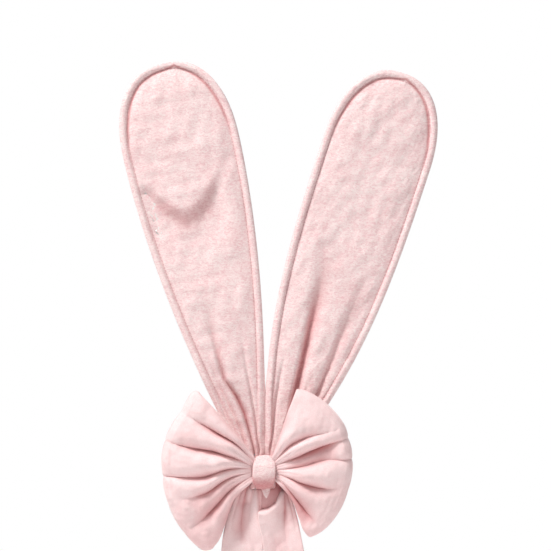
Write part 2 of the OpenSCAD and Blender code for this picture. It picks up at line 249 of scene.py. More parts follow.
def two_tone(tree, grey, low, low_colour, high, high_colour):
    """A grey turned into colours: one where it is below low, and another where it is above high."""
    tones = tree.nodes.new("ShaderNodeValToRGB")
    for stop, at, colour in zip(tones.color_ramp.elements, (low, high), (low_colour, high_colour)):
        stop.position = at
        stop.color = (*colour, 1)
    tree.links.new(grey, tones.inputs["Fac"])
    return tones.outputs["Color"]


def multiply(tree, colour, tint, share):
    """A colour multiplied by a tint, in part. The tint and the share are values or come from nodes."""
    mix = tree.nodes.new("ShaderNodeMix")
    mix.data_type = "RGBA"
    mix.blend_type = "MULTIPLY"
    tree.links.new(colour, mix.inputs["A"])
    for socket, source in (("B", tint), ("Factor", share)):
        if isinstance(source, bpy.types.NodeSocket):
            tree.links.new(source, mix.inputs[socket])
        else:
            mix.inputs[socket].default_value = source
    return mix.outputs["Result"]


def relief(tree, height, strength, distance, under=None):
    """The way a surface faces once a height is raised on it."""
    bump = tree.nodes.new("ShaderNodeBump")
    bump.inputs["Strength"].default_value = strength
    bump.inputs["Distance"].default_value = distance
    tree.links.new(height, bump.inputs["Height"])
    if under is not None:
        tree.links.new(under, bump.inputs["Normal"])
    return bump.outputs["Normal"]


# the deep rose of painted shade, multiplied into cloth in pleats, grooves and undersides
PAINTED_SHADE_TINT = (0.72, 0.43, 0.44)
SPECKLE_TINT = (0.92, 0.78, 0.80)
STROKE_TINT = (0.84, 0.62, 0.66)
UNTINTED = (1.0, 1.0, 1.0)
STROKE_LENGTH = 0.0036
STROKE_HEIGHT = 0.0012


def pile_material(name, light, dark, grain, mottle, bump, sheen, brushed=0.0):
    """Brushed cloth: a colour that drifts between light and dark over patches as long as mottle,
    speckled at the pile's own grain (both in metres), with bump for the lie of the pile.
    brushed is how strongly short level strokes show in it. Where a piece's fold attribute is high,
    the colour is multiplied towards a deep rose: painted shade in pleats, grooves and undersides."""
    material, tree, shader = new_material(name)
    place = tree.nodes.new("ShaderNodeTexCoord").outputs["Object"]
    patches = noise(tree, place, 1 / mottle, 6, 0.62, 0.6)
    speckle = noise(tree, place, 1 / grain, 3, 0.7)
    level = tree.nodes.new("ShaderNodeMapping")
    level.inputs["Scale"].default_value = (1 / STROKE_LENGTH, 1 / STROKE_LENGTH, 1 / STROKE_HEIGHT)
    tree.links.new(place, level.inputs["Vector"])
    strokes = noise(tree, level.outputs["Vector"], 1.0, 2, 0.5, 1.6)

    colour = two_tone(tree, patches, 0.34, dark, 0.6, light)
    colour = multiply(tree, colour, two_tone(tree, speckle, 0.3, SPECKLE_TINT, 0.62, UNTINTED), 0.75)
    colour = multiply(tree, colour, two_tone(tree, strokes, 0.38, STROKE_TINT, 0.56, UNTINTED), brushed)
    # painted shade: the fold attribute darkens the colour towards a deep rose
    depth = tree.nodes.new("ShaderNodeAttribute")
    depth.attribute_name = "fold"
    colour = multiply(tree, colour, (*PAINTED_SHADE_TINT, 1), depth.outputs["Fac"])
    tree.links.new(colour, shader.inputs["Base Color"])
    lie = relief(tree, patches, 0.5, bump * 3)
    tree.links.new(relief(tree, speckle, 0.8, bump, lie), shader.inputs["Normal"])

    shader.inputs["Roughness"].default_value = 0.92
    shader.inputs["Specular IOR Level"].default_value = 0.15
    shader.inputs["Sheen Weight"].default_value = sheen
    shader.inputs["Sheen Roughness"].default_value = 0.45
    shader.inputs["Sheen Tint"].default_value = (1.0, 0.93, 0.92, 1)
    return material


ear_plush = pile_material(
    "ear_plush", plain_colour(255, 238, 235), plain_colour(251, 227, 225), 0.0009, 0.013, 0.0004, 0.4, 0.6
)

EARS = {
    "left": {
        "side": -1, "width": 95.0, "taper": 1.8, "seed": 3, "point": 9.0,
        # each fold: heights up the ear, its place across it, its depth and its width there
        "folds": [
            ([18, 35, 47, 62, 77, 125, 165], [0.20, 0.12, 0.07, -0.10, -0.33, -0.26, -0.15],
             [4.5, 6.5, 7.5, 7.5, 5.0, 1.4, 0.0], [1.0, 1.6, 2.2, 2.4, 2.0, 5, 8]),
            ([18, 50, 85, 115], [0.55, 0.50, 0.43, 0.40], [3.0, 2.6, 1.6, 0.0], [0.9, 1.2, 1.8, 3]),
            ([18, 32, 70, 105], [-0.35, -0.3, -0.55, -0.6], [3.0, 3.0, 2.4, 0.0], [0.9, 1.2, 1.8, 3]),
            ([18, 60, 100], [-0.75, -0.78, -0.8], [2.6, 1.8, 0.0], [0.9, 1.6, 3]),
        ],
        # each dent: its place across and up, its size across and up, and its depth
        "dents": [(-26, 250, 11, 24, 1.4), (16, 160, 20, 20, 1.2)],
        # where the thick part of the wadding ends: its heights at places across the ear
        "step": ([-36, -22, -10, 2, 14, 28], [232, 214, 202, 206, 217, 234], 3.9),
    },
    "right": {
        "side": 1, "width": 90.0, "taper": 2.9, "seed": 8, "point": 4.0,
        "folds": [
            ([18, 50, 72, 118, 162, 190], [-0.05, -0.06, -0.10, -0.20, -0.25, -0.25],
             [4, 6.0, 8.0, 6.5, 2.2, 0], [1.0, 1.8, 3.4, 4.2, 8, 12]),
            ([18, 72, 113, 157, 185], [0.50, 0.53, 0.49, 0.51, 0.5],
             [4, 4.5, 3.0, 1.2, 0], [1.2, 2.6, 4.0, 7, 10]),
            ([18, 60, 95], [-0.60, -0.62, -0.6], [3.0, 2.4, 0], [0.9, 1.5, 2.5]),
            ([18, 50, 85], [0.20, 0.18, 0.2], [3.0, 2.0, 0], [0.9, 1.5, 2.5]),
            ([18, 60, 90], [0.80, 0.82, 0.82], [2.4, 1.6, 0], [0.9, 1.5, 2.5]),
        ],
        "dents": [(-8, 205, 30, 26, 1.5), (10, 270, 22, 22, 1.0)],
        "step": ([-40, 40], [200, 200], 0.0),  # none
    },
}


def tip_heights(count):
    """Heights up an ear's rounded tip, closer together towards its end."""
    return EAR_WIDEST + EAR_TIP * np.sin(np.linspace(0, math.pi / 2, count)) ** (2 / EAR_TIP_POWER)


def half_width(ear, v):
    """Half an ear's width at a height v above its foot."""
    v = np.asarray(v, float)
    full = ear["width"] / 2
    opened = np.clip((v - EAR_BASE) / (EAR_WIDEST - EAR_BASE), 0, 1)
    lower = full - (full - EAR_BASE_WIDTH / 2) * (1 - opened) ** ear["taper"]
    neck = NECK_HALF + (EAR_BASE_WIDTH / 2 - NECK_HALF) * ease(v, 7, EAR_BASE)
    rise = np.clip((v - EAR_WIDEST) / EAR_TIP, 0, 1)
    tip = full * (1 - rise**EAR_TIP_POWER) ** (1 / EAR_TIP_POWER)
    return np.where(v < EAR_BASE, neck, np.where(v < EAR_WIDEST, lower, tip))


def edge_distance(ear, u, v):
    """How far a point of an ear is from the ear's edge."""
    below_tip = np.linspace(EAR_BASE - 20, EAR_WIDEST, 150, endpoint=False)
    heights = np.concatenate([below_tip, tip_heights(110)])
    edge = np.stack([half_width(ear, heights), heights], axis=-1)
    a, b = edge[:-1], edge[1:]
    along = b - a
    point = np.stack([np.abs(u).ravel(), np.asarray(v, float).ravel()], axis=-1)
    best = np.full(len(point), 1e9)
    for start in range(0, len(point), 4000):
        p = point[start : start + 4000, None, :]
        t = np.clip(((p - a) * along).sum(-1) / np.maximum((along**2).sum(-1), 1e-9), 0, 1)
        best[start : start + 4000] = np.linalg.norm(p - (a + along * t[..., None]), axis=-1).min(1)
    return best.reshape(np.shape(u))


def ear_middle(ear, u, v):
    """How far the pleats push an ear's middle surface back."""
    push = -1.4 * (1 - ease(v, 40, 150)) * ease(v, 10, 30) + 0 * u
    for heights, across, depth, width in ear["folds"]:
        at = np.interp(v, heights, across) * half_width(ear, v)
        wide = np.interp(v, heights, width)
        x = (u - at) / wide
        x = np.where(x < 0, x * 1.5, x)
        push = push + np.interp(v, heights, depth) * np.exp(-np.abs(x) ** 1.6) * ease(v, 2, 16)
    return push


def groove_inset(ear, u, v):
    """How far in from the edge the inner panel starts: it comes to a small point at the tip."""
    pointed = np.exp(-np.abs(u - ear["point"]) / TIP_POINT_WIDTH)
    return CHANNEL + ease(v, EAR_WIDEST, EAR_WIDEST + 40) * (1.5 - 3.6 * pointed)


def ear_dents(ear, u, v):
    """How deep the plush has sunk where the wadding under it is thin or ends."""
    dents = sum(
        depth * np.exp(-(((u - at_u) / wide) ** 2) - ((v - at_v) / high) ** 2)
        for at_u, at_v, wide, high, depth in ear["dents"]
    )
    across, heights, depth = ear["step"]
    above = v - np.interp(u, across, heights)
    return dents + depth * (1 - ease(above, 0, 16)) * (1 - ease(-above, 4, 60)) * (1 - ease(u, 14, 34))


def ear_face(ear, u, v, front):
    """The depth of an ear's front or back face from the ear's middle plane; forwards is minus."""
    d = edge_distance(ear, u, v)
    groove = groove_inset(ear, u, v)
    wall = CHANNEL_HALF_THICK * np.sqrt(np.clip(1 - ((d - CHANNEL / 2) / (CHANNEL / 2)) ** 2, 0, 1))
    filled = PANEL_HALF_THICK - 1.0 * (1 - ease(v, 60, 150))
    puff = filled * (1 - np.exp(-np.clip(d - groove, 0, None) / 6.5))
    thick = np.where(d < CHANNEL / 2, wall, np.maximum(wall, SEAM_HALF_THICK + puff))
    neck = NECK_HALF_THICK * np.sqrt(np.clip(1 - (u / np.maximum(half_width(ear, v), 0.1)) ** 2, 0, 1))
    thick = neck + (thick - neck) * ease(v, 14, 40)
    seed = ear["seed"] + (0 if front else 40)
    inside = ease(d, 3, 12)
    loose = 0.45 * ripples(u, v, 34, seed) + 0.22 * ripples(u, v, 13, seed + 1)
    nap = 0.10 * ripples(u, v, 4.5, seed + 2) * ease(d, 0, 3)
    dents = ear_dents(ear, u, v) * (1 if front else 0.3)
    thick = thick + inside * (loose - dents) + nap
    return ear_middle(ear, u, v) * ease(d, 0, 5) + (-thick if front else thick)


def ear_points(ear, u, v, depth):
    """Points of an ear in the frame, in millimetres, from their place across, up and through it."""
    inward = np.clip(-ear["side"] * u / np.maximum(half_width(ear, v), 0.1), 0, 1)
    fuller = (0.8 + 2.6 * (1 - ease(v, 12, 30))) * (1 - ease(v, 50, 85)) * ease(v, 0, 10)
    u = u - ear["side"] * fuller * inward**2
    foot = joints[ear["name"] + "_ear_splay"]["pos_m"]
    lean = joints[ear["name"] + "_ear_lean"]["axis"]
    tilt = math.atan2(lean[2], -lean[0])
    return np.stack([
        foot[0] / mm + u * math.cos(tilt) + v * math.sin(tilt),
        foot[1] / mm + depth + 0 * u,
        foot[2] / mm - u * math.sin(tilt) + v * math.cos(tilt),
    ], axis=-1)


def rings_round(front, back):
    """Rings round a flat piece, from rows of its front face and rows of its back face."""
    return np.concatenate([front, back[:, -2:0:-1]], axis=1)


def ear_skin(ear, name, heights, columns):
    """The ear's plush between the first and last of some heights, as one closed skin."""
    across = np.sin(np.linspace(-math.pi / 2, math.pi / 2, columns)) * 0.55
    across = across + 0.45 * np.linspace(-1, 1, columns)
    v = np.repeat(heights[:, None], columns, axis=1)
    u = across[None, :] * half_width(ear, v)
    rings = rings_round(*(ear_points(ear, u, v, ear_face(ear, u, v, front)) for front in (True, False)))
    # painted shade: the front is darkened in its pleats, in the groove beside the channel (most near the
    # tip) and below the step in the wadding; the back takes none
    hollow_shade = np.clip(ear_middle(ear, u, v) / 6.0, 0, 1) ** 1.1
    beside = np.exp(-(((edge_distance(ear, u, v) - groove_inset(ear, u, v)) / 1.1) ** 2))
    hollow_shade = np.maximum(hollow_shade, beside * (0.22 + 0.78 * ease(v, EAR_WIDEST, EAR_WIDEST + 25)))
    across, heights, depth = ear["step"]
    under = np.exp(-(((v - np.interp(u, across, heights) - 6) / 9) ** 2)) * (1 - ease(u, 10, 26))
    hollow_shade = np.maximum(hollow_shade, 0.13 * depth * under * ease(u, -44, -20))
    return loft(name, rings, ear_plush, fold=rings_round(hollow_shade, 0 * hollow_shade))


def tube(name, path, radius, material, sides=8):
    """A round bar along points in millimetres, with flat ends."""
    path = np.asarray(path, float)
    along = np.gradient(path, axis=0)
    along /= np.linalg.norm(along, axis=1, keepdims=True)
    side = np.cross(along, np.where(np.abs(along[:, 1:2]) < 0.9, (0.0, 1.0, 0.0), (1.0, 0.0, 0.0)))
    side /= np.linalg.norm(side, axis=1, keepdims=True)
    other = np.cross(along, side)
    turn = np.linspace(0, 2 * math.pi, sides, endpoint=False)
    rings = path[:, None] + radius * (
        side[:, None] * np.cos(turn)[None, :, None] + other[:, None] * np.sin(turn)[None, :, None]
    )
    return loft(name, rings, material)


def stitch_row(name, starts, ends, out, radius, lift, material):
    """Short threads from each start to each end, which rise by lift along out and dip in again."""
    starts, ends, out = (np.asarray(a, float) for a in (starts, ends, out))
    at = np.array([0, 0.12, 0.35, 0.65, 0.88, 1.0])
    rise = np.array([-0.55, 0.3, 1, 1, 0.3, -0.55]) * lift
    thick = np.array([0.45, 0.9, 1, 1, 0.9, 0.45]) * radius
    sides = 6
    along = ends - starts
    along /= np.linalg.norm(along, axis=1, keepdims=True)
    across = np.cross(along, out)
    across /= np.linalg.norm(across, axis=1, keepdims=True)
    turn = np.linspace(0, 2 * math.pi, sides, endpoint=False)
    middle = starts[:, None] + (ends - starts)[:, None] * at[None, :, None]
    middle = middle + out[:, None] * rise[None, :, None]
    ring = across[:, None] * np.cos(turn)[None, :, None] + out[:, None] * np.sin(turn)[None, :, None]
    points = middle[:, :, None] + ring[:, None] * thick[None, :, None, None]
    count, rows = len(starts), len(at)
    index = np.arange(rows * sides).reshape(rows, sides)
    nxt = np.roll(index, -1, axis=1)
    one = np.stack([index[:-1], nxt[:-1], nxt[1:], index[1:]], axis=-1).reshape(-1, 4)
    faces = [
        face for i in range(count)
        for face in (one + i * rows * sides).tolist()
        + [(index[0] + i * rows * sides).tolist()[::-1], (index[-1] + i * rows * sides).tolist()]
    ]
    return skin(name, points, faces, material)


wire_steel, steel_tree, steel_shader = new_material("wire_steel")
steel_place = steel_tree.nodes.new("ShaderNodeTexCoord").outputs["Object"]
steel_dull = steel_tree.nodes.new("ShaderNodeMapRange")
steel_dull.inputs["To Min"].default_value = 0.3
steel_dull.inputs["To Max"].default_value = 0.55
steel_tree.links.new(noise(steel_tree, steel_place, 900), steel_dull.inputs["Value"])
steel_tree.links.new(steel_dull.outputs["Result"], steel_shader.inputs["Roughness"])
steel_shader.inputs["Base Color"].default_value = (0.55, 0.56, 0.58, 1)
steel_shader.inputs["Metallic"].default_value = 1.0

white_wadding = pile_material(
    "white_wadding", plain_colour(250, 248, 245), plain_colour(236, 232, 228), 0.0016, 0.01, 0.0006, 0.2
)

# The ears' inside, in millimetres. The wire's upper length joins its two legs at WIRE_JOIN.
WIRE_INSET = 3.2
WIRE_RADIUS = 1.0
WIRE_JOIN = 52
WADDING_INSET = 9.0
WADDING_SHARE = 0.55


def inset_outline(ear, distance, from_v, step=1.5):
    """Points along a line inside an ear's edge: up one side, round the tip and down the other."""
    heights = np.concatenate([np.arange(from_v, EAR_WIDEST, step), tip_heights(90)])
    edge = np.stack([half_width(ear, heights), heights], axis=-1)
    along = np.gradient(edge, axis=0)
    along /= np.linalg.norm(along, axis=1, keepdims=True)
    line = edge + distance * np.stack([-along[:, 1], along[:, 0]], axis=-1)
    line[-1] = (0, EAR_LENGTH - distance)
    line = line[(line[:, 0] > 0) | (np.arange(len(line)) == len(line) - 1)]
    return np.concatenate([line, line[-2::-1] * (-1, 1)])


def ear_wadding(ear, name):
    """The wadding inside the panels, thinner and smaller than they are."""
    tip = EAR_TIP - WADDING_INSET
    tip_rise = np.sin(np.linspace(0, math.pi / 2, 26))
    heights = np.concatenate([np.arange(WIRE_JOIN, EAR_WIDEST, 3), EAR_WIDEST + tip * tip_rise])
    across = np.linspace(-1, 1, 30)[None, :]
    v = heights[:, None] + 0 * across
    full = ear["width"] / 2 - WADDING_INSET
    rise = np.clip((v - EAR_WIDEST) / tip, 0, 1)
    at_tip = full * (1 - rise**EAR_TIP_POWER) ** (1 / EAR_TIP_POWER)
    half = np.where(v < EAR_WIDEST, half_width(ear, v) - WADDING_INSET, at_tip)
    u = across * np.maximum(half, 0)
    front_face, back_face = ear_face(ear, u, v, True), ear_face(ear, u, v, False)
    middle = (front_face + back_face) / 2
    half_thick = (back_face - front_face) / 2 * WADDING_SHARE
    rim = np.sqrt(np.clip(1 - across**2, 0, 1))
    front = ear_points(ear, u, v, middle - half_thick * rim)
    back = ear_points(ear, u, v, middle + half_thick * rim)
    return loft(name, rings_round(front, back), white_wadding)


def ear_wire(ear, name, u, v):
    """A length of an ear's wire, which lies halfway between its two panels."""
    return tube(name, ear_points(ear, u, v, ear_middle(ear, u, v) * 0.5), WIRE_RADIUS, wire_steel)


for name, ear in EARS.items():
    ear["name"] = name
    pivot = Vector(joints[name + "_ear_lean"]["pos_m"])
    fold = Vector(joints[name + "_ear_fold"]["pos_m"])
    up = (fold - pivot).normalized()
    ear["up"], ear["fold"], ear["pivot"] = up, fold, pivot
    body, tip, foot = name + "_ear", name + "_ear_tip", name + "_ear_foot"
    plain = np.arange(GATHERED_TO, EAR_WIDEST, 1.5)
    cloth = ear_skin(ear, name + "_ear_cloth", np.concatenate([plain, tip_heights(64)]), 90)
    gathers = ear_skin(ear, name + "_ear_gathers", np.arange(NECK_FOOT, GATHERED_TO + 0.1, 1.1), 90)
    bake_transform(cloth)
    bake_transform(gathers)
    panels = [f"{name}_ear_{face}_{end}" for face in ("front", "back") for end in ("lower", "upper")]
    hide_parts(*panels)
    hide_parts(name + "_ear_neck")

    wire = ear_wire(ear, name + "_ear_wire", *inset_outline(ear, WIRE_INSET, WIRE_JOIN).T)
    # the two legs run down from there and come together in the neck
    leg_v = np.arange(WIRE_JOIN, EAR_BASE - 6, -1.0)
    drawn_in = 1.6 * (1 - ease(leg_v, 20, 40))
    leg_u = np.maximum(half_width(ear, leg_v) - WIRE_INSET - drawn_in, 1.2)
    leg_u, leg_v = np.concatenate([leg_u, -leg_u[::-1]]), np.concatenate([leg_v, leg_v[::-1]])
    wire_foot = ear_wire(ear, name + "_ear_wire_foot", leg_u, leg_v)
    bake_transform(wire_foot)
    wadding = ear_wadding(ear, name + "_ear_wadding")
    for piece, kind in ((wire, "wire"), (wadding, "wadding")):
        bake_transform(piece)
        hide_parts(f"{name}_ear_{kind}_lower", f"{name}_ear_{kind}_upper")


# ---------------------------------------------------------------- ear stitching
# A row of topstitching in sewing thread holds each ear's channel shut round the wire, through
# both panels. The foot of the ear is bound with a few turns of the same thread.
STITCH_PITCH = 2.8
STITCH_LENGTH = 2.15
THREAD_RADIUS = 0.24
TOPSTITCH_FROM = 62
BINDING_TURNS = 4
BINDING_HEIGHTS = (3.4, 7.4)


def ribbed_material(name, hollow_shade, top, scale, uneven, direction, strength, height):
    """Twisted or woven yarn: ribs that run in one direction, with a darker colour in their hollows as
    painted shade and a lighter one on their tops. The height is in metres."""
    material, tree, shader = new_material(name)
    place = tree.nodes.new("ShaderNodeTexCoord").outputs["Object"]
    ribs = tree.nodes.new("ShaderNodeTexWave")
    ribs.bands_direction = direction
    ribs.inputs["Scale"].default_value = scale
    ribs.inputs["Distortion"].default_value = uneven
    tree.links.new(place, ribs.inputs["Vector"])
    # painted shade: the rib hollows take the darker colour
    colour = two_tone(tree, ribs.outputs["Fac"], 0, hollow_shade, 1, top)
    tree.links.new(colour, shader.inputs["Base Color"])
    tree.links.new(relief(tree, ribs.outputs["Fac"], strength, height), shader.inputs["Normal"])
    return material, shader


# the first colour is painted shade in the twist's hollows, and the second is the thread's own rose
sewing_thread, thread_shader = ribbed_material(
    "sewing_thread", plain_colour(204, 152, 154), plain_colour(226, 182, 183),
    900, 1.5, "DIAGONAL", 0.6, 0.0001,
)
thread_shader.inputs["Roughness"].default_value = 0.6
thread_shader.inputs["Sheen Weight"].default_value = 0.2


def stitches_along(line):
    """Where the stitches of a row start and where they end, at an even pitch along a line."""
    line = np.asarray(line, float)
    run = np.concatenate([[0], np.cumsum(np.linalg.norm(np.diff(line, axis=0), axis=1))])
    count = max(int(run[-1] / STITCH_PITCH), 1)
    at = np.linspace(0, run[-1], count + 1)
    knots = np.stack([np.interp(at, run, line[:, k]) for k in range(line.shape[1])], axis=-1)
    return knots[:-1], knots[:-1] + STITCH_LENGTH / STITCH_PITCH * np.diff(knots, axis=0)


def give_material(node, material):
    """A piece that shows as it was built takes a material of this scene."""
    slots = bpy.data.objects[node].data.materials
    slots.clear()
    slots.append(material)


for name, ear in EARS.items():
    body, tip, foot = name + "_ear", name + "_ear_tip", name + "_ear_foot"
    fold, up, pivot = ear["fold"], ear["up"], ear["pivot"]
    ends = stitches_along(inset_outline(ear, CHANNEL + 0.4, TOPSTITCH_FROM))
    for face, out_y in (("front", -1.0), ("back", 1.0)):
        start, end = (ear_points(ear, u, v, ear_face(ear, u, v, out_y < 0)) for u, v in (e.T for e in ends))
        out = np.tile((0, out_y, 0), (len(start), 1))
        row = stitch_row(
            f"{name}_ear_{face}_stitches", start, end, out, THREAD_RADIUS, 0.26, sewing_thread
        )
        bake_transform(row)

    turns = np.linspace(0, 2 * math.pi * BINDING_TURNS, 140)
    height = np.linspace(*BINDING_HEIGHTS, 140)
    binding_line = ear_points(
        ear, (half_width(ear, height) + 0.1) * np.cos(turns), height, 3.6 * np.sin(turns)
    )
    binding = tube(name + "_ear_binding", binding_line, 0.4, sewing_thread)
    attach(binding, foot)
    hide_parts(name + "_ear_neck_thread")
    give_material(name + "_ear_wire_shank", wire_steel)


# ---------------------------------------------------------------- bow loops
# Each loop is a wide strip of lined velvet turned back on itself and gathered at the middle. The
# front layer runs out in pleats, turns over in a round fold and runs back behind.
# A pleat line gives its angle round the knot at five distances, its depth and its width.
BOW_RADII = [9.0, 30.0, 45.0, 62.0, 84.0]
LOOP_ROOT = 8.0
LOOP_MIDDLE_Y = -109.5
WAIST_Y = -108.8
VELVET_THICK = 1.7
RIM_START = 0.3
# grid steps across one pleat, out along the front, over the fold and home along the back
PLEAT_STEPS = 24
OUT_STEPS = 46
OVER_STEPS = 17
HOME_STEPS = 30

BOW = {
    "left": {
        "side": -1, "seed": 21, "rim_fold": 6.3, "top_corner": 3.5,
        "panels": [1.5, 2.0, 0.5, -1.0, -0.5, 0.0],
        "lines": [
            ([-38, -41, -50, -56, -53], 81.0, [0, 0, 0, 0, 0], 3),
            ([-18, -27, -34, -37, -37], 80.8, [1.5, 3.5, 5.0, 3.6, 0.4], 4.2),
            ([-1, -9.5, -18, -18.5, -16], 80.8, [1.5, 3.0, 3.6, 1.6, 0.0], 3.4),
            ([16, 5, -3, -3, -1], 81.6, [1.5, 3.5, 4.0, 4.2, 4.0], 3.2),
            ([30, 25.5, 23, 19, 18], 84.0, [1.5, 3.5, 5.0, 4.6, 2.4], 3.8),
            ([47, 47, 42, 38.5, 36], 82.6, [1.5, 3.5, 5.0, 3.6, 0.3], 4.0),
            ([58, 55, 53.5, 52, 50.5], 88.0, [0, 0, 0, 0, 0], 3),
        ],
    },
    "right": {
        "side": 1, "seed": 33, "rim_fold": 6.0, "top_corner": 1.2,
        "panels": [3.5, 1.0, -0.5, 4.0, -0.5, 0.0],
        "lines": [
            ([-34, -44, -52, -57, -58], 64.8, [0, 0, 0, 0, 0], 3),
            ([-22, -37, -42, -44, -46], 67.3, [1.5, 3.5, 5.0, 4.0, 0.4], 3.8),
            ([-6, -15, -15, -12, -9], 69.0, [1.5, 3.0, 3.6, 2.4, 0.0], 3.4),
            ([11, 9, 11.5, 9.5, 7], 72.0, [1.5, 2.6, 1.8, 2.0, 3.6], 2.2),
            ([30, 26, 25.5, 23.5, 19.5], 73.4, [1.5, 3.5, 4.6, 5.6, 2.4], 3.8),
            ([47, 46.5, 39, 32, 29], 75.0, [1.5, 3.5, 3.0, 0.0, 0.0], 3.2),
            ([60, 66, 68, 68.5, 68.5], 74.0, [0, 0, 0, 0, 0], 3),
        ],
    },
}


def smooth_curve(x, at, values):
    """A smooth curve through a few values, level beyond its two ends."""
    at, values = np.asarray(at, float), np.asarray(values, float)
    x = np.clip(x, at[0], at[-1])
    slopes = np.gradient(values, at, axis=0)
    i = np.clip(np.searchsorted(at, x, side="right") - 1, 0, len(at) - 2)
    span = at[i + 1] - at[i]
    t = (x - at[i]) / span
    return (
        (2 * t**3 - 3 * t**2 + 1) * values[i] + (t**3 - 2 * t**2 + t) * span * slopes[i]
        + (3 * t**2 - 2 * t**3) * values[i + 1] + (t**3 - t**2) * span * slopes[i + 1]
    )


def cloth_slab(name, middle, thickness, material, edge=0.45, fold=None):
    """A closed sheet of cloth round a grid of points on its middle surface. Its edges are rolled
    thinner than the rest."""
    rows, columns = middle.shape[:2]
    normal = np.cross(np.gradient(middle, axis=0), np.gradient(middle, axis=1))
    normal /= np.maximum(np.linalg.norm(normal, axis=-1, keepdims=True), 1e-9)
    full = np.ones((rows, columns))
    for depth, share in ((1, (1 + edge) / 2 + 0.12), (0, edge)):
        full[[depth, -1 - depth], :] = np.minimum(full[[depth, -1 - depth], :], share)
        full[:, [depth, -1 - depth]] = np.minimum(full[:, [depth, -1 - depth]], share)
    half = normal * full[..., None] * thickness / 2
    points = np.stack([middle + half, middle - half])
    top, under = np.arange(rows * columns * 2).reshape(2, rows, columns)
    sides = (
        (top[:, :-1], top[:, 1:]), (under.T[:, :-1], under.T[:, 1:]), (top[0], under[0]),
        (under[-1], top[-1]), (under[:, 0], top[:, 0]), (top[:, -1], under[:, -1]),
    )
    faces = np.concatenate([
        np.stack([a[:-1], a[1:], b[1:], b[:-1]], axis=-1).reshape(-1, 4) for a, b in sides
    ])
    return skin(name, points, faces.tolist(), material, None if fold is None else np.stack([fold, fold]))


bow_velvet = pile_material(
    "bow_velvet", plain_colour(254, 229, 228), plain_colour(250, 219, 218), 0.0007, 0.02, 0.00022, 0.45
)


